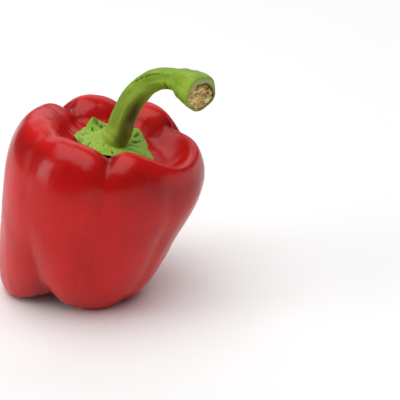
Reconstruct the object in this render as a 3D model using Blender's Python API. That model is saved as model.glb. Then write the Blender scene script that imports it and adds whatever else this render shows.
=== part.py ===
# A red bell pepper as picked: the lobed fruit, the green calyx in the hollow of its crown, and the
# crooked stem that ends in a cut face. Metres, +Z up. The fruit stands on the pressed tips of its
# lobes, and the origin is under the middle of the whole pepper, on the surface that it stands on.
# The pieces are worked out in millimetres on the fruit's own upright axis, then leaned together.

import bpy
import numpy as np
from math import cos, pi, radians, sin

MM = 0.001
GAP = 0.3                # clear space between pieces that touch
LEAN = 12.0              # degrees that the fruit's axis leans towards +X
PRESSED = 0.8            # depth of the flat spots that the lobe tips stand on

# One row for each lobe: its angle at the shoulder and at the tip (degrees from +X), then its outline:
# crest radius and height, bulge of the inner wall, shoulder, belly and low-wall radius, tip radius
# and height.
LOBES = {
    "left": (166, 192, 28, 82.3, 5.5, 40, 38.9, 37.0, 28.0, -5.9),
    "back": (109, 118, 27.9, 84.4, 4, 38.6, 39.0, 33.0, 20.0, -0.5),
    "rear": (55, 56, 29.5, 87.8, 4, 40, 40.0, 33.0, 21.0, 2.5),
    "right": (0, 2, 35.5, 84.8, 0, 48.5, 39.3, 34.4, 20.0, 4.3),
    "saddle": (-26, -30, 40, 67.5, 0, 42, 39.5, 35.5, 23.0, 4.0),
    "front": (-53, -64, 26, 88.0, 0, 41, 40.5, 33.6, 16.3, -0.6),
    "fore": (-122, -92, 27, 83.5, 0, 41, 41.0, 34.9, 17.3, -2.0),
    "side": (-160, -130, 28, 82.0, 5.5, 41, 40.1, 38.3, 22.5, 1.7),
}
LOBE_SHARPNESS = 7.0     # how fast the wall passes from one lobe's outline to the next

# One row for each crease between lobes: its angle at the shoulder and at the tip, its width, then its
# depth on the inner wall, the crest, the shoulder, the belly, the low wall and the tip.
CREASES = [
    (134, 152, 4.5, 3, 7, 3.6, 1.5, 2, 6), (80, 82, 5, 4, 7, 3, 1, 1, 5),
    (28, 22, 6, 3, 7, 2.6, 1, 2, 6), (-40, -38, 8, 0, 0, 1, 1.5, 1.5, 3),
    (-87, -82, 5, 5, 6, 2.2, 0.2, 0, 1), (-143, -113, 9, 2, 2, 0.8, 0.8, 3, 9),
]
CREASE_STATIONS = (0, 2, 3.2, 5, 7, 8, 9, 11.6, 14)
CREASE_ROUNDING = 0.06   # rounds the bottom of each crease

# The dent in the inner face of the right lobe: its angle, station, radius, length in stations, depth.
DENT = (0, 3.9, 9, 0.8, 2.5)

CAVITY_FLOOR = 71.0      # height of the crown's hollow, where the calyx sits
CAVITY_RADIUS = 13.0
SCAR_HEIGHT = 10.0       # height of the blossom scar between the lobe tips
LAST_STATION = 14        # stations run from the crown (0) over the crest (5) and the tips (12) to the scar
TWIST_STATIONS = (5, 12)

CALYX_THICKNESS = 2.0
# The calyx's edge, sepal tips and the notches between them in turn: angle and the station it reaches.
CALYX_EDGE = [
    (-172, 2.5), (-150, 2.1), (-118, 2.5), (-90, 2.1), (-62, 2.5), (-33, 2.1), (-4, 2.4),
    (12, 2.2), (29, 2.4), (42, 2.76), (60, 2.35), (78, 2.5), (97, 2.6), (117, 3.02), (134, 2.4),
    (155, 2.25),
]
SEPAL_LIFT = 0.8         # how far the tips stand off the wall

# The stem's centre line, from its foot on the calyx to the middle of the cut face.
STEM_ROUTE = [
    (1.6, 0, 74.9), (4.2, 0, 79.5), (5.4, 0, 88), (8.4, -0.8, 98.4), (14.9, -2.8, 107.2),
    (22.8, -6, 110), (28.4, -12, 110.2), (32.3, -18, 109.8),
]
# Its radius along the way: fraction of the length, radius.
STEM_GIRTH = [
    (0, 9.4), (0.04, 7.6), (0.09, 6.0), (0.16, 5.4), (0.25, 5.3), (0.42, 5.2), (0.55, 4.7), (0.68, 4.3),
    (0.77, 4.8), (0.86, 6.8), (0.94, 7.9), (0.985, 7.8), (1, 7.0),
]
STEM_RIBS = 5
STEM_RIB_DEPTH = 0.35

FRUIT_TURNS = 72         # facets around each piece
CALYX_TURNS = 60
STEM_TURNS = 24
STEM_STEPS = 30

RED = (0.42, 0.012, 0.010, 1)
LEAF_GREEN = (0.30, 0.45, 0.06, 1)
STEM_GREEN = (0.24, 0.34, 0.05, 1)


def clear_scene():
    for item in list(bpy.data.objects):
        bpy.data.objects.remove(item, do_unlink=True)


def material(name, colour, roughness):
    made = bpy.data.materials.new(name)
    made.use_nodes = True
    shader = made.node_tree.nodes["Principled BSDF"]
    shader.inputs["Base Color"].default_value = colour
    shader.inputs["Roughness"].default_value = roughness
    shader.inputs["Metallic"].default_value = 0
    return made


def smooth_step(x):
    x = np.clip(x, 0, 1)
    return x * x * (3 - 2 * x)


def smooth_table(x, places, values):
    """Values at places, joined by smooth steps."""
    x = np.asarray(x, float)
    k = np.clip(np.searchsorted(places, x, side="right") - 1, 0, len(places) - 2)
    places = np.asarray(places, float)
    values = np.asarray(values, float)
    part = smooth_step((x - places[k]) / (places[k + 1] - places[k]))
    return values[k] * (1 - part) + values[k + 1] * part


def spline_weight(x):
    """The uniform cubic B-spline's weight at distance x from a control ring."""
    x = np.abs(x)
    return (np.maximum(0, 2 - x) ** 3 - 4 * np.maximum(0, 1 - x) ** 3) / 6


def lobe_outline(crest_r, crest_z, bulge, shoulder_r, belly_r, low_r, tip_r, tip_z):
    """Radius and height of a lobe's control rings, from the crown over the crest down to the scar."""
    tall = crest_z - tip_z
    rings = [
        (0, CAVITY_FLOOR), (CAVITY_RADIUS / 2, CAVITY_FLOOR), (CAVITY_RADIUS, CAVITY_FLOOR + 1),
        (crest_r - 9 - bulge * 0.35, crest_z - 11 + bulge),
        (crest_r - 5 - bulge * 0.2, crest_z - 1.5 + bulge * 0.1),
        (crest_r + 2, crest_z + 1),
        (shoulder_r - 4, crest_z - 5), (shoulder_r + 0.5, crest_z - 17),
        (belly_r, tip_z + tall * 0.55), (low_r, tip_z + tall * 0.27),
        (tip_r + 9, tip_z + 8.5), (tip_r + 3, tip_z - 1), (tip_r - 5, tip_z),
        (tip_r * 0.4, SCAR_HEIGHT - 3), (0, SCAR_HEIGHT),
    ]
    before = (-rings[1][0], rings[1][1])      # mirrored rings keep both poles smooth
    after = (-rings[-2][0], rings[-2][1])
    return np.array([before] + rings + [after], float)


def twist(station):
    return smooth_step((station - TWIST_STATIONS[0]) / (TWIST_STATIONS[1] - TWIST_STATIONS[0]))


def plain_wall(angle, station):
    """The fruit's wall without its creases, for an angle in radians and a station."""
    radius = 0
    height = 0
    total = 0
    for top, bottom, *sizes in LOBES.values():
        middle = np.radians(top + (bottom - top) * twist(station))
        share = np.exp(LOBE_SHARPNESS * (np.cos(angle - middle) - 1))
        for number, (ring_r, ring_z) in enumerate(lobe_outline(*sizes), -1):
            weight = share * spline_weight(station - number)
            radius = radius + weight * ring_r
            height = height + weight * ring_z
        total = total + share
    radius = radius / total
    return np.stack([radius * np.cos(angle), radius * np.sin(angle), height / total], -1)


def wall_normal(angle, station):
    """Unit normals that point out of the flesh."""
    step = 0.01
    around = plain_wall(angle + step, station) - plain_wall(angle - step, station)
    down = plain_wall(angle, station + step) - plain_wall(angle, station - step)
    normal = np.cross(down, around)
    normal[station <= step] = (0, 0, 1)
    normal[station >= LAST_STATION - step] = (0, 0, -1)
    return normal / np.linalg.norm(normal, axis=-1, keepdims=True)


def angle_between(angle, middle):
    return (angle - middle + pi) % (2 * pi) - pi


def crease_depth(angle, station, radius):
    depth = np.zeros_like(station)
    for top, bottom, width, *depths in CREASES:
        middle = np.radians(top + (bottom - top) * twist(station))
        across = angle_between(angle, middle) * radius / width
        along = smooth_table(station, CREASE_STATIONS, [0, 0] + depths + [0])
        depth += along * np.exp(CREASE_ROUNDING ** 0.5 - np.sqrt(across ** 2 + CREASE_ROUNDING))
    dent_angle, dent_station, dent_radius, dent_length, dent_depth = DENT
    across = angle_between(angle, radians(dent_angle)) * radius / dent_radius
    along = (station - dent_station) / dent_length
    return depth + dent_depth * np.exp(-across ** 2 - along ** 2)


def fruit_points():
    crown = np.linspace(0, 5, 14)
    side = np.linspace(5, 10, 13)[1:]
    tips = np.linspace(10, 13, 13)[1:]
    scar = np.array([13.5, 14])
    stations = np.concatenate([crown, side, tips, scar])
    angles = np.arange(FRUIT_TURNS) * 2 * pi / FRUIT_TURNS
    station, angle = np.meshgrid(stations, angles, indexing="ij")
    wall = plain_wall(angle, station)
    radius = np.hypot(wall[..., 0], wall[..., 1])
    return wall - wall_normal(angle, station) * crease_depth(angle, station, radius)[..., None]


def calyx_points():
    """Rings over the top of the calyx from its middle to its edge, then back underneath."""
    angles = np.arange(CALYX_TURNS) * 2 * pi / CALYX_TURNS
    edge = np.interp(np.degrees(angles), *zip(*CALYX_EDGE), period=360)
    out = np.linspace(0, 1, 9)
    fraction, angle = np.meshgrid(out, angles, indexing="ij")
    station = fraction * edge[None, :]
    wall = plain_wall(angle, station)
    normal = wall_normal(angle, station)
    lift = GAP + SEPAL_LIFT * fraction ** 3
    thickness = CALYX_THICKNESS * (1 - 0.55 * fraction ** 4)
    top = wall + normal * (lift + thickness)[..., None]
    under = wall + normal * lift[..., None]
    return np.concatenate([top, under[::-1]])


def route_points(points, count):
    """Even points on a smooth curve through the given ones, and its directions."""
    points = np.array(points, float)
    chord = np.concatenate([[0], np.cumsum(np.linalg.norm(np.diff(points, axis=0), axis=1))])
    slope = np.gradient(points, chord, axis=0)
    fine = np.linspace(0, chord[-1], 400)
    k = np.clip(np.searchsorted(chord, fine, side="right") - 1, 0, len(points) - 2)
    span = (chord[k + 1] - chord[k])[:, None]
    u = ((fine - chord[k]) / span[:, 0])[:, None]
    curve = (
        (1 + 2 * u) * (1 - u) ** 2 * points[k] + u * (1 - u) ** 2 * span * slope[k]
        + u ** 2 * (3 - 2 * u) * points[k + 1] - u ** 2 * (1 - u) * span * slope[k + 1]
    )
    run = np.concatenate([[0], np.cumsum(np.linalg.norm(np.diff(curve, axis=0), axis=1))])
    even = np.linspace(0, run[-1], count)
    line = np.stack([np.interp(even, run, curve[:, axis]) for axis in range(3)], -1)
    ahead = np.gradient(line, axis=0)
    return line, ahead / np.linalg.norm(ahead, axis=1, keepdims=True)


def stem_points():
    """Rings along the stem, each square to its centre line, carried along without twisting."""
    line, ahead = route_points(STEM_ROUTE, STEM_STEPS)
    ahead[0] = (0, 0, 1)
    side = np.array([0, 1.0, 0])
    fraction = np.linspace(0, 1, STEM_STEPS)
    girth = smooth_table(fraction, *zip(*STEM_GIRTH))
    turn = np.arange(STEM_TURNS) * 2 * pi / STEM_TURNS
    rings = []
    for middle, direction, radius in zip(line, ahead, girth):
        side = side - direction * (side @ direction)
        side = side / np.linalg.norm(side)
        other = np.cross(direction, side)
        ribbed = radius + STEM_RIB_DEPTH * np.cos(STEM_RIBS * turn)
        rings.append(middle + ribbed[:, None] * (np.cos(turn)[:, None] * side + np.sin(turn)[:, None] * other))
    return np.array(rings[::-1])


def leaned(points):
    """Turn points on the fruit's axis about Y, so that its crown moves towards +X."""
    tilt = radians(LEAN)
    x, y, z = points[..., 0], points[..., 1], points[..., 2]
    return np.stack([x * cos(tilt) + z * sin(tilt), y, z * cos(tilt) - x * sin(tilt)], -1)


def solid(name, rings, finish):
    """One closed body from rings that run from the top end to the bottom end, with a middle
    point closing each end."""
    count, turns = rings.shape[:2]
    ends = [rings[0].mean(axis=0), rings[-1].mean(axis=0)]
    corners = [tuple(p) for p in rings.reshape(-1, 3) * MM] + [tuple(p * MM) for p in ends]
    top, bottom = count * turns, count * turns + 1
    faces = []
    for turn in range(turns):
        following = (turn + 1) % turns
        faces.append((top, turn, following))
        faces.append((bottom, (count - 1) * turns + following, (count - 1) * turns + turn))
        for ring in range(count - 1):
            a, b = ring * turns + turn, ring * turns + following
            faces.append((a, a + turns, b + turns, b))
    mesh = bpy.data.meshes.new(name)
    mesh.from_pydata(corners, [], faces)
    mesh.materials.append(finish)
    mesh.shade_smooth()
    piece = bpy.data.objects.new(name, mesh)
    bpy.context.scene.collection.objects.link(piece)
    return piece


def main():
    clear_scene()
    fruit = leaned(fruit_points()[1:-1])      # the first and last rings are single points
    calyx = leaned(calyx_points()[1:-1])
    stem = leaned(stem_points())
    # stand the pepper on its pressed lobe tips, with the origin under its middle
    whole = np.concatenate([piece.reshape(-1, 3) for piece in (fruit, calyx, stem)])
    middle = (whole.min(axis=0) + whole.max(axis=0)) / 2
    shift = np.array([-middle[0], -middle[1], -whole[:, 2].min() - PRESSED])
    fruit = fruit + shift
    fruit[..., 2] = np.maximum(fruit[..., 2], 0)
    solid("fruit", fruit, material("red_skin", RED, 0.22))
    solid("calyx", calyx + shift, material("calyx_green", LEAF_GREEN, 0.5))
    solid("stem", stem + shift, material("stem_green", STEM_GREEN, 0.5))


main()
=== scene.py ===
from math import cos, pi, radians, sin

import bpy
from mathutils import Matrix, Vector


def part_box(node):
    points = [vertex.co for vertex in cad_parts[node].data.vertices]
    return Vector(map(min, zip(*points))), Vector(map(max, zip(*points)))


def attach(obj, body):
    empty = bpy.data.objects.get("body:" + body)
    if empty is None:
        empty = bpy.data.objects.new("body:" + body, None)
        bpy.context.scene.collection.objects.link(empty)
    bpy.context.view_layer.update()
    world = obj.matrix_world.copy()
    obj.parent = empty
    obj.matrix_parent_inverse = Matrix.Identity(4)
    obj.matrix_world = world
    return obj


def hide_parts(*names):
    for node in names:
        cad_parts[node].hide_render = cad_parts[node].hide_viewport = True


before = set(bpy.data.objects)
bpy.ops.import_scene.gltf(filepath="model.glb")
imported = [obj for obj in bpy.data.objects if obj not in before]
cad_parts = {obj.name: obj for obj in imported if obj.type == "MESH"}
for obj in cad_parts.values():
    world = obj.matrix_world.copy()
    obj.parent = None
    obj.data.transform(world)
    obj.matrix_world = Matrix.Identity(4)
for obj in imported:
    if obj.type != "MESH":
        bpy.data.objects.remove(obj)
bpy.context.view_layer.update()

# A red bell pepper standing on its lobe tips. Shapes are worked out in millimetres on the fruit's own
# upright axis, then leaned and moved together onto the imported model. Stations number the way down the
# wall: 0 in the middle of the crown's hollow, 5 on the crest, 11 to 12 on the lobe tips, 14 at the scar.

millimetre = 0.001
lean = radians(12)      # how far the fruit's axis leans towards +X
lastStation = 14


class Field:
    # a value in a node tree: arithmetic on it adds Math nodes to the tree
    def __init__(self, plan, socket):
        self.plan = plan
        self.socket = socket

    def __add__(self, other):
        return self.plan.calc("ADD", self, other)

    def __sub__(self, other):
        return self.plan.calc("SUBTRACT", self, other)

    def __rsub__(self, other):
        return self.plan.calc("SUBTRACT", other, self)

    def __mul__(self, other):
        return self.plan.calc("MULTIPLY", self, other)

    def __truediv__(self, other):
        return self.plan.calc("DIVIDE", self, other)

    def __pow__(self, other):
        return self.plan.calc("POWER", self, other)


class Plan:
    # a node tree, with short ways to add nodes to it
    def __init__(self, tree):
        self.tree = tree

    def put(self, socket, value):
        if isinstance(value, Field):
            value = value.socket
        if isinstance(value, bpy.types.NodeSocket):
            self.tree.links.new(value, socket)
        else:
            socket.default_value = value

    def node(self, kind, inputs=None, **settings):
        made = self.tree.nodes.new(kind)
        for name, value in settings.items():
            setattr(made, name, value)
        for name, value in (inputs or {}).items():
            self.put(made.inputs[name], value)
        return made

    def field(self, kind, inputs=None, output=0, **settings):
        return Field(self, self.node(kind, inputs, **settings).outputs[output])

    def calc(self, operation, *values):
        return self.field("ShaderNodeMath", dict(enumerate(values)), operation=operation)

    def vector(self, x, y, z):
        return self.field("ShaderNodeCombineXYZ", {"X": x, "Y": y, "Z": z})

    def split(self, vector):
        made = self.node("ShaderNodeSeparateXYZ", {"Vector": vector})
        return [Field(self, socket) for socket in made.outputs]

    def scaled(self, vector, amount):
        made = self.node("ShaderNodeVectorMath", {"Vector": vector, "Scale": amount}, operation="SCALE")
        return Field(self, made.outputs["Vector"])

    def vectorCalc(self, operation, *values, output=0):
        inputs = dict(enumerate(values))
        return self.field("ShaderNodeVectorMath", inputs, output, operation=operation)

    def ringPlace(self, angle, reach, third):
        # a place for noise that meets itself around the axis
        return self.vector(self.calc("COSINE", angle) * reach, self.calc("SINE", angle) * reach, third)

    def bell(self, distance, width):
        # 1 where the distance is 0, falling away on both sides
        return self.calc("EXPONENT", 0 - (distance / width) ** 2)

    def ramp(self, value, low, high, start=0.0, end=1.0, smooth=True):
        # start on low's side, end on high's side, and a smooth or straight way between
        inputs = {"Value": value, "From Min": low, "From Max": high, "To Min": start, "To Max": end}
        way = "SMOOTHSTEP" if smooth else "LINEAR"
        return self.field("ShaderNodeMapRange", inputs, interpolation_type=way)

    def table(self, value, points, smooth=True):
        # the height of a line through (place, height) points, as a sum of ramps
        total = points[0][1]
        for (low, before), (high, after) in zip(points, points[1:]):
            if after != before:
                total = self.ramp(value, low, high, 0, after - before, smooth) + total
        return total

    def noise(self, vector, scale, detail=2.0, roughness=0.5, distortion=0.0):
        # centred on zero, about -0.5 to 0.5
        inputs = {"Vector": vector, "Scale": scale, "Detail": detail, "Roughness": roughness}
        inputs["Distortion"] = distortion
        return self.field("ShaderNodeTexNoise", inputs) - 0.5


def geometryPlan(name, given, made=(("Geometry", "Geometry"),)):
    # a tree with named inputs; plan.given holds them and plan.exit takes what it makes
    plan = Plan(bpy.data.node_groups.new(name, "GeometryNodeTree"))
    interface = plan.tree.interface
    for label, kind, value in given:
        socket = interface.new_socket(label, in_out="INPUT", socket_type="NodeSocket" + kind)
        if value is not None:
            socket.default_value = value
    for label, kind in made:
        interface.new_socket(label, in_out="OUTPUT", socket_type="NodeSocket" + kind)
    entry = plan.node("NodeGroupInput")
    plan.given = {socket.name: Field(plan, socket) for socket in entry.outputs if socket.name}
    plan.exit = plan.node("NodeGroupOutput")
    return plan


def setPosition(plan, geometry, **inputs):
    links = {"Geometry": geometry}
    links.update({name.capitalize(): value for name, value in inputs.items()})
    return plan.field("GeometryNodeSetPosition", links)


def store(plan, geometry, name, value, kind="FLOAT"):
    inputs = {"Geometry": geometry, "Name": name, "Value": value}
    return plan.field("GeometryNodeStoreNamedAttribute", inputs, data_type=kind, domain="POINT")


def recall(plan, name):
    return plan.field("GeometryNodeInputNamedAttribute", {"Name": name}, data_type="FLOAT")


def finishPlan(plan, geometry, finish):
    geometry = plan.field("GeometryNodeSetShadeSmooth", {"Geometry": geometry})
    geometry = plan.field("GeometryNodeRealizeInstances", {"Geometry": geometry})
    geometry = plan.field("GeometryNodeSetMaterial", {"Geometry": geometry, "Material": finish})
    plan.put(plan.exit.inputs["Geometry"], geometry)


def plainMesh(name, carrier, plan, values):
    # run the tree on the carrier and keep its result as a plain mesh object
    modifier = carrier.modifiers.new(plan.tree.name, "NODES")
    modifier.node_group = plan.tree
    for socket in plan.tree.interface.items_tree:
        if socket.in_out == "INPUT" and socket.name in values:
            modifier[socket.identifier] = values[socket.name]
    bpy.context.scene.collection.objects.link(carrier)
    bpy.context.view_layer.update()
    evaluated = carrier.evaluated_get(bpy.context.evaluated_depsgraph_get())
    mesh = bpy.data.meshes.new_from_object(evaluated)
    bpy.data.objects.remove(carrier)
    mesh.name = name
    piece = bpy.data.objects.new(name, mesh)
    bpy.context.scene.collection.objects.link(piece)
    return piece


def emptyCarrier(name):
    return bpy.data.objects.new(name, bpy.data.meshes.new(name))


def meshBox(mesh):
    corners = [Vector(vertex.co) for vertex in mesh.vertices]
    low = Vector([min(corner[axis] for corner in corners) for axis in range(3)])
    high = Vector([max(corner[axis] for corner in corners) for axis in range(3)])
    return low, high


def newMaterial(name):
    # plan.shader is the material's shader and plan.place its Object coordinates
    finish = bpy.data.materials.new(name)
    finish.use_nodes = True
    plan = Plan(finish.node_tree)
    plan.shader = finish.node_tree.nodes["Principled BSDF"]
    plan.place = plan.field("ShaderNodeTexCoord", output="Object")
    return finish, plan


def attribute(plan, name, output="Fac"):
    return plan.field("ShaderNodeAttribute", output=output, attribute_name=name)


def mixed(plan, amount, first, second):
    inputs = {"Factor": amount, 6: first, 7: second}
    made = plan.node("ShaderNodeMix", inputs, data_type="RGBA")
    return Field(plan, made.outputs[2])


def setShader(plan, **values):
    for name, value in values.items():
        plan.put(plan.shader.inputs[name.replace("_", " ")], value)


def bumped(plan, height, distance, strength=1.0):
    inputs = {"Height": height, "Distance": distance, "Strength": strength}
    plan.put(plan.shader.inputs["Normal"], plan.field("ShaderNodeBump", inputs))


# the red body: eight lobe outlines blended by angle, then creased and dented
fruit = {
    "turns": 352, "rings": 248,       # columns around the fruit and rows from crown to scar
    # angle at the shoulder and at the tip, crest radius and height, bulge of the inner wall,
    # shoulder, belly and low-wall radius, tip radius and height
    "lobes": {
        "left": (166, 192, 28, 82.3, 5.5, 40, 38.9, 37.0, 28.0, -5.9),
        "back": (109, 118, 27.9, 84.4, 4, 38.6, 39.0, 33.0, 20.0, -0.5),
        "rear": (55, 56, 29.5, 87.8, 4, 40, 40.0, 33.0, 21.0, 2.5),
        "right": (0, 2, 35.5, 84.8, 0, 48.5, 39.3, 34.4, 20.0, 4.3),
        "saddle": (-26, -30, 40, 67.5, 0, 42, 39.5, 35.5, 23.0, 4.0),
        "front": (-53, -64, 26, 88.0, 0, 41, 40.5, 33.6, 16.3, -0.6),
        "fore": (-122, -92, 27, 83.5, 0, 41, 41.0, 34.9, 17.3, -2.0),
        "side": (-160, -130, 28, 82.0, 5.5, 41, 40.1, 38.3, 22.5, 1.7),
    },
    "lobeSharpness": 7.0,
    "cavityFloor": 71.0, "cavityRadius": 13.0, "scarHeight": 10.0,
    "twist": (5, 12),                 # stations between which the lobes turn
    # angle at the shoulder and at the tip, width, then depth on the inner wall, the crest, the
    # shoulder, the belly, the low wall and the tip
    "creases": [
        (134, 152, 4.5, 3, 7, 3.6, 1.5, 2, 6),
        (80, 82, 5, 4, 7, 3, 1, 1, 5),
        (28, 22, 6, 3, 7, 2.6, 1, 2, 6),
        (-40, -38, 8, 0, 0, 1, 1.5, 1.5, 3),
        (-87, -82, 5, 5, 6, 2.2, 0.2, 0, 1),
        (-143, -113, 9, 2, 2, 0.8, 0.8, 3, 9),
    ],
    "creaseStations": (0, 2, 3.2, 5, 7, 8, 9, 11.6, 14),
    "creaseRounding": 0.06,
    # dents of the wall: angle, station, radius, length in stations, depth
    "dents": [
        (0, 3.9, 9, 0.8, 2.5),
    ],
    "swell": 1.0,                     # height of the wall's soft unevenness
    "swellScale": 0.055, "streakSwellScale": 0.22, "streakSwell": 0.6,
    "seed": 11.0,
    "deepRed": (0.46, 0.002, 0.002, 1), "brightRed": (0.62, 0.006, 0.005, 1),
    # the next colour is painted shade, for soft patches under the crest and down the creases
    "paintedShadeRed": (0.27, 0.001, 0.001, 1),
    "roughness": 0.23, "roughnessSpread": 0.03, "bumpDepth": 0.00006,
}


def lobeOutline(crestR, crestZ, bulge, shoulderR, bellyR, lowR, tipR, tipZ):
    # radius and height of a lobe's control rings, with one mirrored ring past each pole; the offsets
    # round the crest, the shoulder and the tip
    tall = crestZ - tipZ
    floor, cavityR, scar = fruit["cavityFloor"], fruit["cavityRadius"], fruit["scarHeight"]
    rings = [
        (0, floor), (cavityR / 2, floor), (cavityR, floor + 1),
        (crestR - 9 - bulge * 0.35, crestZ - 11 + bulge),
        (crestR - 5 - bulge * 0.2, crestZ - 1.5 + bulge * 0.1), (crestR + 2, crestZ + 1),
        (shoulderR - 4, crestZ - 5), (shoulderR + 0.5, crestZ - 17),
        (bellyR, tipZ + tall * 0.55), (lowR, tipZ + tall * 0.27),
        (tipR + 9, tipZ + 8.5), (tipR + 3, tipZ - 1), (tipR - 5, tipZ),
        (tipR * 0.4, scar - 3), (0, scar),
    ]
    return [(-rings[1][0], rings[1][1])] + rings + [(-rings[-2][0], rings[-2][1])]


def splineWeight(plan, distance):
    # the uniform cubic B-spline's weight at a distance from a control ring
    away = plan.calc("ABSOLUTE", distance)
    wide = plan.calc("MAXIMUM", 2 - away, 0) ** 3
    narrow = plan.calc("MAXIMUM", 1 - away, 0) ** 3
    return (wide - narrow * 4) / 6


def turnedAngle(plan, station, top, bottom):
    # an angle that passes from top to bottom while the wall runs down, in radians
    return plan.ramp(station, *fruit["twist"], radians(top), radians(bottom))


def makeWallRule():
    # radius and height of the smooth wall at an angle and a station
    given = [("Angle", "Float", 0), ("Station", "Float", 0), ("Lobe sharpness", "Float", 7)]
    plan = geometryPlan("wallRule", given, [("Radius", "Float"), ("Height", "Float")])
    angle, station, sharpness = (plan.given[label] for label, _, _ in given)
    weights = [splineWeight(plan, station - number) for number in range(-1, lastStation + 2)]
    total, radius, height = 0, 0, 0
    for top, bottom, *sizes in fruit["lobes"].values():
        away = angle - turnedAngle(plan, station, top, bottom)
        share = plan.calc("EXPONENT", (plan.calc("COSINE", away) - 1) * sharpness)
        lobeRadius, lobeHeight = 0, 0
        for weight, (ringRadius, ringHeight) in zip(weights, lobeOutline(*sizes)):
            lobeRadius = plan.calc("MULTIPLY_ADD", weight, ringRadius, lobeRadius)
            lobeHeight = plan.calc("MULTIPLY_ADD", weight, ringHeight, lobeHeight)
        total = share + total
        radius = plan.calc("MULTIPLY_ADD", share, lobeRadius, radius)
        height = plan.calc("MULTIPLY_ADD", share, lobeHeight, height)
    plan.put(plan.exit.inputs["Radius"], radius / total)
    plan.put(plan.exit.inputs["Height"], height / total)
    return plan.tree


def onWall(plan, wallRule, angle, station, sharpness):
    # the point on the smooth wall, and its radius
    made = plan.node("GeometryNodeGroup", node_tree=wallRule)
    for name, value in {"Angle": angle, "Station": station, "Lobe sharpness": sharpness}.items():
        plan.put(made.inputs[name], value)
    radius, height = Field(plan, made.outputs["Radius"]), Field(plan, made.outputs["Height"])
    flat = [radius * plan.calc("COSINE", angle), radius * plan.calc("SINE", angle)]
    return plan.vector(*flat, height), radius


def ball(plan, turns, rings):
    # a closed ball, with the angle around it and the fraction of the way down it
    inputs = {"Segments": turns, "Rings": rings, "Radius": 1}
    geometry = plan.field("GeometryNodeMeshUVSphere", inputs)
    x, y, z = plan.split(plan.field("GeometryNodeInputPosition"))
    angle = plan.calc("ARCTAN2", y, x)
    down = plan.calc("ARCCOSINE", plan.calc("MAXIMUM", plan.calc("MINIMUM", z, 1), -1)) / pi
    geometry = store(plan, geometry, "angle", angle)
    geometry = store(plan, geometry, "down", down)
    return geometry, recall(plan, "angle"), recall(plan, "down")


def apart(plan, angle, middle):
    # the shorter way round from the middle to the angle
    return plan.calc("WRAP", angle - middle, pi, -pi)


def creaseDepth(plan, angle, station, radius):
    # creases with a rounded bottom, each as deep as its own row says along the way down
    rounding = fruit["creaseRounding"]
    depth = 0
    for top, bottom, width, *depths in fruit["creases"]:
        middle = turnedAngle(plan, station, top, bottom)
        across = apart(plan, angle, middle) * radius / width
        along = plan.table(station, list(zip(fruit["creaseStations"], [0, 0] + depths + [0])))
        fall = rounding ** 0.5 - plan.calc("SQRT", across * across + rounding)
        depth = plan.calc("EXPONENT", fall) * along + depth
    return depth


def dentDepth(plan, angle, station, radius):
    depth = 0
    for middle, height, wide, tall, deep in fruit["dents"]:
        across = apart(plan, angle, radians(middle)) * radius / wide
        along = (station - height) / tall
        depth = plan.calc("EXPONENT", 0 - across * across - along * along) * deep + depth
    return depth


def leaned(plan, geometry):
    inputs = {"Geometry": geometry, "Rotation": (0, lean, 0), "Scale": (millimetre,) * 3}
    return plan.field("GeometryNodeTransform", inputs)


def makeFruitTree(wallRule):
    given = [
        ("Turns", "Int", 64), ("Rings", "Int", 48), ("Lobe sharpness", "Float", 7),
        ("Swell", "Float", 0.3), ("Seed", "Float", 0), ("Skin", "Material", None),
    ]
    plan = geometryPlan("fruitShape", given)
    turns, rings, sharpness, swell, seed, skin = (plan.given[label] for label, _, _ in given)
    geometry, angle, down = ball(plan, turns, rings)
    station = down * lastStation
    place, radius = onWall(plan, wallRule, angle, station, sharpness)
    geometry = setPosition(plan, geometry, position=place)
    creases = creaseDepth(plan, angle, station, radius)
    geometry = store(plan, geometry, "crease", creases)
    # lengthwise streaks follow the wall: close together around it, drawn out down it
    streak = plan.ringPlace(angle, 20, station * 0.5)
    geometry = store(plan, geometry, "streak", streak, "FLOAT_VECTOR")
    geometry = store(plan, geometry, "station", station)
    point = plan.field("GeometryNodeInputPosition")
    moved = plan.vectorCalc("ADD", point, plan.vector(seed, 0, 0))
    uneven = plan.noise(moved, fruit["swellScale"], 1)
    uneven = uneven + plan.noise(streak, fruit["streakSwellScale"], 1) * fruit["streakSwell"]
    depth = creases + dentDepth(plan, angle, station, radius) - uneven * swell
    normal = plan.field("GeometryNodeInputNormal")
    geometry = setPosition(plan, geometry, offset=plan.scaled(normal, 0 - depth))
    finishPlan(plan, leaned(plan, geometry), skin)
    return plan


def skinMaterial():
    finish, plan = newMaterial("waxyRedSkin")
    streak = attribute(plan, "streak", "Vector")
    crease = attribute(plan, "crease")
    cloud = plan.noise(plan.place, 38, 3, 0.55)
    lines = plan.noise(streak, 0.9, 3, 0.6)
    amount = plan.ramp(cloud + lines * 0.35, -0.3, 0.3)
    colour = mixed(plan, amount, fruit["deepRed"], fruit["brightRed"])
    # painted shade: deeper red in soft patches under the crest and down the creases
    station = attribute(plan, "station")
    shadePatch = plan.ramp(station, 5.5, 6.3) * plan.ramp(station, 7.4, 6.3)
    shadePatch = shadePatch * plan.ramp(cloud, -0.2, 0.15, 0.25, 0.8)
    shadePatch = plan.calc("MAXIMUM", shadePatch, plan.ramp(crease, 1.2, 5.0, 0, 0.85))
    colour = mixed(plan, shadePatch, colour, fruit["paintedShadeRed"])
    fine = plan.noise(plan.place, 700, 2, 0.6) + lines * 0.3
    spread = fruit["roughnessSpread"]
    rough = plan.ramp(cloud, -0.4, 0.4, fruit["roughness"] - spread, fruit["roughness"] + spread)
    setShader(
        plan, Base_Color=colour, Roughness=rough,
        IOR=1.34, Subsurface_Weight=0.06, Subsurface_Radius=(1.0, 0.12, 0.08), Subsurface_Scale=0.003,
    )
    bumped(plan, fine, fruit["bumpDepth"])
    return finish


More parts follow.
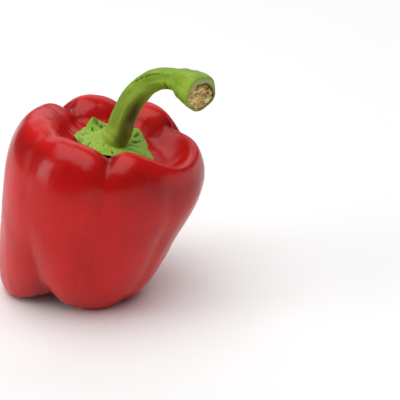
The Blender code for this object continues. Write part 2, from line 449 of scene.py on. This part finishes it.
def makeFruit(wallRule):
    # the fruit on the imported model, and the move that takes the other pieces there
    values = {
        "Turns": fruit["turns"], "Rings": fruit["rings"], "Lobe sharpness": fruit["lobeSharpness"],
        "Swell": fruit["swell"], "Seed": fruit["seed"], "Skin": skinMaterial(),
    }
    piece = plainMesh("pepperFruit", emptyCarrier("fruitCarrier"), makeFruitTree(wallRule), values)
    low, high = meshBox(piece.data)
    cadLow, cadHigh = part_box("fruit")
    shift = (cadLow + cadHigh - low - high) / 2
    shift.z = cadHigh.z - high.z
    piece.data.transform(Matrix.Translation(shift))
    for vertex in piece.data.vertices:
        vertex.co.z = max(vertex.co.z, 0)     # the tips are pressed flat where the fruit stands
    return piece, shift


# the green disc with its sepals, laid over the wall of the crown's hollow
calyx = {
    "turns": 288, "rings": 180,
    # the edge in turn, sepal tips and the notches between them: angle, station
    "edge": [
        (-180, 2.4), (-172, 2.5), (-150, 2.1), (-118, 2.5), (-90, 2.1), (-62, 2.5), (-33, 2.15),
        (-4, 2.62), (12, 2.4), (29, 2.58), (42, 2.76), (60, 2.35), (78, 2.5), (97, 2.6),
        (117, 3.02), (134, 2.4), (155, 2.25), (180, 2.4),
    ],
    "ragged": 0.05,                   # unevenness of the edge, in stations
    "lift": 0.5, "tipLift": 1.2,      # clear space above the fruit, and at the tips
    "thickness": 1.8,
    # the cone that runs up into the stem: height, its level top, middle along x, and reach
    "collar": 9.0, "collarTop": 7.5, "collarMiddle": -0.5, "collarReach": 12.0,
    "crumple": 0.9,                   # depth of the wrinkles
    "seed": 4.0,
    "green": (0.22, 0.46, 0.035, 1), "paleGreen": (0.31, 0.47, 0.045, 1),
    # the darker green below is painted shade for the wrinkles' hollows
    "hollowShadeGreen": (0.05, 0.13, 0.008, 1), "brown": (0.12, 0.09, 0.02, 1),
    "roughness": 0.55, "bumpDepth": 0.0002,
}


def makeCalyxTree(wallRule):
    given = [
        ("Turns", "Int", 64), ("Rings", "Int", 32), ("Lobe sharpness", "Float", 7),
        ("Lift", "Float", 0.5), ("Tip lift", "Float", 1), ("Thickness", "Float", 2),
        ("Collar", "Float", 3), ("Crumple", "Float", 1), ("Ragged", "Float", 0.1),
        ("Seed", "Float", 0), ("Leaf", "Material", None),
    ]
    plan = geometryPlan("calyxShape", given)
    (turns, rings, sharpness, lift, tipLift, thickness, collar, crumple, ragged, seed,
     leaf) = (plan.given[label] for label, _, _ in given)
    geometry, angle, down = ball(plan, turns, rings)
    # out runs from 0 at both poles to 1 on the edge; top is 1 on the upper side, whose last row is
    # the one before the edge
    out = 1 - plan.calc("ABSOLUTE", down * 2 - 1)
    top = plan.calc("LESS_THAN", down, 0.4999)
    points = [(radians(place), height) for place, height in calyx["edge"]]
    edge = plan.table(angle, points, smooth=False)
    edge = edge + plan.noise(plan.ringPlace(angle, 3.6, seed), 1.0, 1.5) * ragged * 3
    place = onWall(plan, wallRule, angle, out * edge, sharpness)[0]
    geometry = setPosition(plan, geometry, position=place)
    # the wall's own slope, from a small step down it and a small step around it; it is taken a little
    # way from the pole, where the wall has no direction around it
    nearPole, stationStep, angleStep = 0.06, 0.04, 0.03
    station = plan.calc("MAXIMUM", out * edge, nearPole)
    here, onward, beside = (
        onWall(plan, wallRule, angle + turn, station + step, sharpness)[0]
        for turn, step in ((0, 0), (0, stationStep), (angleStep, 0)))
    downWall = plan.vectorCalc("SUBTRACT", onward, here)
    aroundWall = plan.vectorCalc("SUBTRACT", beside, here)
    normal = plan.vectorCalc("NORMALIZE", plan.vectorCalc("CROSS_PRODUCT", downWall, aroundWall))
    # short pits drawn out along the spokes, and a soft unevenness between them
    spokes = plan.ringPlace(angle, 8, out * 4 + seed)
    pits = plan.ramp(plan.noise(spokes, 1.0, 2, 0.5, 0.4), 0.05, 0.2)
    waves = plan.noise(plan.field("GeometryNodeInputPosition"), 0.22, 2)
    outer = plan.ramp(out, 0.3, 0.6)
    wrinkle = (waves * 1.4 - pits) * outer * plan.ramp(out, 1.0, 0.86) * crumple
    x, y = plan.split(place)[:2]
    fromStem = plan.calc("SQRT", (x - calyx["collarMiddle"]) ** 2 + y * y)
    cone = plan.ramp(fromStem, calyx["collarReach"], 0, 0, 1, smooth=False) ** 1.6 * collar
    cone = plan.calc("MINIMUM", cone, calyx["collarTop"])
    rise = lift + (out ** 3) * tipLift
    under = rise + wrinkle * 0.4
    upper = rise + thickness * (1 - out ** 6) + cone + wrinkle
    height = top * upper + (1 - top) * under
    geometry = store(plan, geometry, "wrinkle", wrinkle)
    geometry = store(plan, geometry, "cone", cone)
    geometry = setPosition(plan, geometry, offset=plan.scaled(normal, height))
    finishPlan(plan, leaned(plan, geometry), leaf)
    return plan


def leafMaterial():
    finish, plan = newMaterial("calyxLeaf")
    wrinkle = attribute(plan, "wrinkle")
    speckle = plan.noise(plan.place, 420, 3, 0.6)
    colour = mixed(plan, plan.ramp(speckle, -0.25, 0.25), calyx["green"], calyx["paleGreen"])
    # painted shade: darker green down in the wrinkles' hollows
    colour = mixed(plan, plan.ramp(wrinkle, -0.1, -0.8, 0, 0.9), colour, calyx["hollowShadeGreen"])
    onCone = plan.ramp(attribute(plan, "cone"), 0.1, 2.0, 0, 0.9)
    colour = mixed(plan, onCone, colour, calyx["paleGreen"])
    spots = plan.ramp(plan.noise(plan.place, 160, 2, 0.5), 0.17, 0.24, 0, 0.6)
    colour = mixed(plan, spots, colour, calyx["brown"])
    setShader(
        plan, Base_Color=colour, Roughness=calyx["roughness"], IOR=1.42,
        Subsurface_Weight=0.1, Subsurface_Radius=(0.5, 1.0, 0.2), Subsurface_Scale=0.0015,
    )
    bumped(plan, speckle + plan.noise(plan.place, 1500, 2) * 0.5, calyx["bumpDepth"])
    return finish


def makeCalyx(wallRule, shift):
    values = {
        "Turns": calyx["turns"], "Rings": calyx["rings"], "Lobe sharpness": fruit["lobeSharpness"],
        "Lift": calyx["lift"], "Tip lift": calyx["tipLift"], "Thickness": calyx["thickness"],
        "Collar": calyx["collar"], "Crumple": calyx["crumple"], "Ragged": calyx["ragged"],
        "Seed": calyx["seed"], "Leaf": leafMaterial(),
    }
    piece = plainMesh("pepperCalyx", emptyCarrier("calyxCarrier"), makeCalyxTree(wallRule), values)
    piece.data.transform(Matrix.Translation(shift))
    return piece


# the stalk: thick at its foot, narrow before its swollen end, closed by a cut face
stem = {
    "turns": 160, "rings": 300,
    # centre line from the foot on the calyx to the middle of the cut face
    "route": [
        (1.6, 0, 73.4), (4.2, 0, 79.5), (5.4, 0, 88), (8.4, -0.8, 98.4), (14.9, -2.8, 107.2),
        (23.0, -6, 110.2), (29.4, -12, 110.4), (33.7, -17.9, 110.6),
    ],
    # fraction of the length, radius
    "girth": [
        (0, 7.0), (0.05, 6.4), (0.10, 5.8), (0.17, 5.4), (0.27, 5.2), (0.42, 5.2), (0.55, 4.7),
        (0.66, 4.3), (0.73, 4.4), (0.80, 5.8), (0.87, 7.2), (0.94, 7.8), (0.985, 7.7), (1, 7.2),
    ],
    # directions that the features face, and the cut face's own right and up
    "ways": {
        "neck": (0, -0.75, -0.66), "flank": (0.56, -0.83, 0.05), "crack": (0, -0.74, 0.67),
        "acrossCrack": (0, 0.67, 0.74), "faceRight": (0.84, 0.54, 0), "faceUp": (0, 0, 1),
    },
    "neckPlace": 0.695, "neckWidth": 0.010, "neckDepth": 0.5,
    "crackWidth": 0.07, "crackDepth": 0.4, "flankDepth": 0.35,
    "cutStart": 0.80,                 # part of the rows that is spent before the cut face
    # the cut face, as parts of its own radius: the core's middle and faded edge, the cleft round it;
    # depths and heights in millimetres
    "coreMiddle": (0.04, -0.20), "coreEdge": (0.80, 0.70), "coreSquash": 0.88,
    "cleftReach": 0.77, "cleftWidth": 0.06, "cleftDepth": 1.3, "fibreHeight": 3.4,
    "ribs": 5, "ribDepth": 0.3,
    "wrinkle": 0.35,
    "seed": 2.0,
    "green": (0.15, 0.27, 0.010, 1), "paleGreen": (0.27, 0.42, 0.025, 1),
    # the darkest green is painted shade down the stalk's front-right flank, broken by real spots, and in
    # the neck's groove; it also darkens the crack
    "shadeAndSpotGreen": (0.035, 0.032, 0.004, 1),
    "rindGreen": (0.36, 0.40, 0.15, 1), "tan": (0.60, 0.42, 0.13, 1), "fibre": (0.92, 0.80, 0.46, 1),
    "pit": (0.12, 0.06, 0.012, 1),
    "roughness": (0.48, 0.85),        # on the stalk and on the cut face
    "bumpDepth": 0.00015,
}


def makeStemTree():
    given = [
        ("Route", "Geometry", None), ("Turns", "Int", 32), ("Rings", "Int", 48),
        ("Cut start", "Float", 0.8), ("Ribs", "Float", 5), ("Rib depth", "Float", 0.3),
        ("Wrinkle", "Float", 0.3), ("Seed", "Float", 0), ("Stalk", "Material", None),
    ]
    plan = geometryPlan("stemShape", given)
    (route, turns, rings, cutStart, ribs, ribDepth, wrinkle, seed,
     stalk) = (plan.given[label] for label, _, _ in given)
    geometry, angle, down = ball(plan, turns, rings)
    up = 1 - down
    # the first rows close the foot, the next climb the stalk, and the last cross the cut face
    foot = 0.04
    along = plan.ramp(up, foot, cutStart, 0, 1, smooth=False)
    across = plan.ramp(up, cutStart, 1, 1, 0, smooth=False) * plan.ramp(up, 0, foot, 0, 1, smooth=False)
    sample = plan.node("GeometryNodeSampleCurve", {"Curves": route, "Factor": along}, mode="FACTOR")
    centre, tangent, side = (sample.outputs[name] for name in ("Position", "Tangent", "Normal"))
    other = plan.vectorCalc("CROSS_PRODUCT", tangent, side)
    girth = plan.table(along, stem["girth"])
    ribbed = plan.calc("COSINE", angle * ribs) * ribDepth * plan.ramp(along, 0.05, 0.2)
    knobby = plan.noise(plan.ringPlace(angle, 2, along * 4 + seed), 0.8, 2) * 1.4
    strings = plan.noise(plan.ringPlace(angle, 7, along * 5), 1.0, 2)
    radial = plan.vectorCalc(
        "ADD", plan.scaled(side, plan.calc("COSINE", angle)), plan.scaled(other, plan.calc("SINE", angle)))
    # how far each point's side of the stalk faces a direction
    facing = {name: plan.vectorCalc("DOT_PRODUCT", radial, Vector(way).normalized(), output=1)
              for name, way in stem["ways"].items()}
    neck = plan.bell(along - stem["neckPlace"], stem["neckWidth"]) * plan.ramp(facing["neck"], 0.7, 0.97)
    crack = plan.bell(facing["acrossCrack"], stem["crackWidth"]) * plan.ramp(facing["crack"], 0, 0.5)
    crack = crack * plan.ramp(along, 0.46, 0.51) * plan.ramp(along, 0.70, 0.64)
    crack = crack * plan.ramp(plan.noise(plan.vector(along * 60, seed, 0), 1.0, 1), -0.12, 0.05)
    flank = plan.ramp(facing["flank"], 0.68, 0.98)
    flank = flank * plan.ramp(along, 0.02, 0.08) * plan.ramp(along, 0.6, 0.36)
    dips = neck * stem["neckDepth"] + crack * stem["crackDepth"] + flank * stem["flankDepth"]
    uneven = (knobby + strings * 0.7) * wrinkle * plan.ramp(along, 0.03, 0.2, 0.2, 1)
    radius = (girth + ribbed + uneven - dips) * across
    # the cut face: a ring of rind, widest at the top, round a broken fibrous core
    cutFace = plan.calc("GREATER_THAN", up, cutStart)
    middleRight, middleUp = stem["coreMiddle"]
    right = facing["faceRight"] * across * stem["coreSquash"] - middleRight
    rise = facing["faceUp"] * across - middleUp
    fromMiddle = plan.calc("SQRT", right * right + rise * rise)
    spot = plan.vector(right, rise, seed)
    fromMiddle = fromMiddle + plan.noise(spot, 2.5, 2) * 0.12
    core = plan.ramp(fromMiddle, *stem["coreEdge"]) * cutFace
    fibres = plan.noise(spot, 2.9, 3, 0.65, 0.8)
    cleft = plan.bell(fromMiddle - stem["cleftReach"], stem["cleftWidth"]) * cutFace
    cleft = cleft * plan.ramp(facing["faceRight"] * 0.8 + facing["faceUp"] * 0.6, -0.5, 0.8, 0.15, 1)
    faceHeight = core * (fibres * stem["fibreHeight"] - 0.6) - cleft * stem["cleftDepth"]
    faceHeight = faceHeight + plan.noise(spot, 1.5, 1) * cutFace * 0.8
    place = plan.vectorCalc("ADD", centre, plan.scaled(radial, radius))
    place = plan.vectorCalc("ADD", place, plan.scaled(tangent, faceHeight))
    for name, value in {
        "along": along, "cutFace": cutFace, "core": core, "fibres": fibres, "cleft": cleft,
        "strings": strings, "flank": flank, "neck": neck, "crack": crack, "across": across,
    }.items():
        geometry = store(plan, geometry, name, value)
    geometry = setPosition(plan, geometry, position=place)
    finishPlan(plan, leaned(plan, geometry), stalk)
    return plan


def stalkMaterial():
    finish, plan = newMaterial("stalk")
    along, cutFace, core = (attribute(plan, name) for name in ("along", "cutFace", "core"))
    fibres, cleft, strings = (attribute(plan, name) for name in ("fibres", "cleft", "strings"))
    flank, neck, crack = (attribute(plan, name) for name in ("flank", "neck", "crack"))
    cloud = plan.noise(plan.place, 120, 3, 0.55)
    colour = mixed(plan, plan.ramp(cloud + strings * 0.8, -0.3, 0.3), stem["green"], stem["paleGreen"])
    colour = mixed(plan, plan.ramp(along, 0.34, 0.04, 0, 0.9), colour, calyx["paleGreen"])
    # painted shade down the front-right flank, mottled with real spots, and in the neck's groove; darker
    # along the crack too
    shadeAndSpots = flank * plan.ramp(cloud, -0.25, 0.15, 0.45, 0.92) + neck * 0.8 + crack * 0.9
    colour = mixed(plan, plan.calc("MINIMUM", shadeAndSpots, 0.95), colour, stem["shadeAndSpotGreen"])
    rim = plan.ramp(attribute(plan, "across"), 0.93, 1.0, 0, 0.7) * cutFace
    face = mixed(plan, plan.ramp(fibres, -0.14, 0.0), stem["pit"], stem["tan"])
    face = mixed(plan, plan.ramp(fibres, 0.02, 0.15), face, stem["fibre"])
    face = mixed(plan, core, stem["rindGreen"], face)
    face = mixed(plan, plan.calc("MAXIMUM", cleft * 0.9, rim), face, stem["pit"])
    colour = mixed(plan, cutFace, colour, face)
    setShader(
        plan, Base_Color=colour, Roughness=plan.ramp(cutFace, 0, 1, *stem["roughness"]), IOR=1.36,
        Subsurface_Weight=0.08, Subsurface_Radius=(0.5, 1.0, 0.2), Subsurface_Scale=0.0015,
    )
    bumped(plan, plan.noise(plan.place, 900, 3) + strings, stem["bumpDepth"])
    return finish


def makeStem(shift):
    route = bpy.data.curves.new("stemRoute", "CURVE")
    route.dimensions = "3D"
    spline = route.splines.new("BEZIER")
    spline.bezier_points.add(len(stem["route"]) - 1)
    for point, place in zip(spline.bezier_points, stem["route"]):
        point.co = place
        point.handle_left_type = point.handle_right_type = "AUTO"
    spline.resolution_u = 24
    carrier = bpy.data.objects.new("stemCarrier", route)
    values = {
        "Turns": stem["turns"], "Rings": stem["rings"], "Cut start": stem["cutStart"],
        "Ribs": stem["ribs"], "Rib depth": stem["ribDepth"], "Wrinkle": stem["wrinkle"],
        "Seed": stem["seed"], "Stalk": stalkMaterial(),
    }
    piece = plainMesh("pepperStem", carrier, makeStemTree(), values)
    piece.data.transform(Matrix.Translation(shift))
    return piece


# a pale floor, soft white light and a long lens, in metres and degrees
studio = {
    "floorSize": 6.0, "floorColour": (0.94, 0.94, 0.94, 1),
    "skyColour": (1.0, 1.0, 1.0, 1), "skyStrength": 0.20,
    # white area lights, all aimed at one point: place, size, power
    "lights": {
        "key": ((-0.15, -0.25, 1.50), (2.0, 1.5), 23),
        "backdrop": ((0.10, 1.35, 1.10), (2.4, 1.2), 10),
        "left": ((-1.50, -0.40, 0.50), (0.6, 0.9), 7),
    },
    "lightAim": (0, 0, 0.05),
    "aim": (0.0417, 0, 0.0437), "elevation": 25.0, "distance": 0.65, "lens": 135.7,
}


def aimed(piece, place, target):
    piece.location = place
    direction = Vector(target) - Vector(place)
    piece.rotation_euler = direction.to_track_quat("-Z", "Y").to_euler()


def makeStudio():
    half = studio["floorSize"] / 2
    corners = [(-half, -half, 0), (half, -half, 0), (half, half, 0), (-half, half, 0)]
    mesh = bpy.data.meshes.new("floor")
    mesh.from_pydata(corners, [], [(0, 1, 2, 3)])
    floor = bpy.data.objects.new("floor", mesh)
    bpy.context.scene.collection.objects.link(floor)
    finish, plan = newMaterial("paleFloor")
    setShader(plan, Base_Color=studio["floorColour"], Roughness=0.9, Specular_IOR_Level=0.1)
    mesh.materials.append(finish)
    for name, (place, size, power) in studio["lights"].items():
        lamp = bpy.data.lights.new(name, "AREA")
        lamp.shape = "RECTANGLE"
        lamp.size, lamp.size_y = size
        lamp.energy = power
        light = bpy.data.objects.new(name, lamp)
        bpy.context.scene.collection.objects.link(light)
        aimed(light, place, studio["lightAim"])
    world = bpy.data.worlds.new("studio")
    world.use_nodes = True
    background = world.node_tree.nodes["Background"]
    background.inputs["Color"].default_value = studio["skyColour"]
    background.inputs["Strength"].default_value = studio["skyStrength"]
    bpy.context.scene.world = world
    bpy.context.scene.view_settings.view_transform = "Standard"
    print("set the floor and", len(studio["lights"]), "lights")


def makeCamera():
    rise = radians(studio["elevation"])
    back = Vector((0, -cos(rise), sin(rise))) * studio["distance"]
    lens = bpy.data.cameras.new("camera")
    lens.lens = studio["lens"]
    lens.sensor_width = 36
    lens.clip_start = 0.01
    camera = bpy.data.objects.new("camera", lens)
    bpy.context.scene.collection.objects.link(camera)
    aimed(camera, Vector(studio["aim"]) + back, studio["aim"])
    bpy.context.scene.camera = camera
    print("set the camera")


def settle(piece, node):
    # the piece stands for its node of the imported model, on its only body
    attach(piece, "root")
    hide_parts(node)
    print("made", piece.name, len(piece.data.polygons), "faces")


makeCamera()
makeStudio()
wallRule = makeWallRule()
print("made the wall rule from", len(fruit["lobes"]), "lobes")
fruitPiece, shift = makeFruit(wallRule)
settle(fruitPiece, "fruit")
settle(makeCalyx(wallRule, shift), "calyx")
settle(makeStem(shift), "stem")
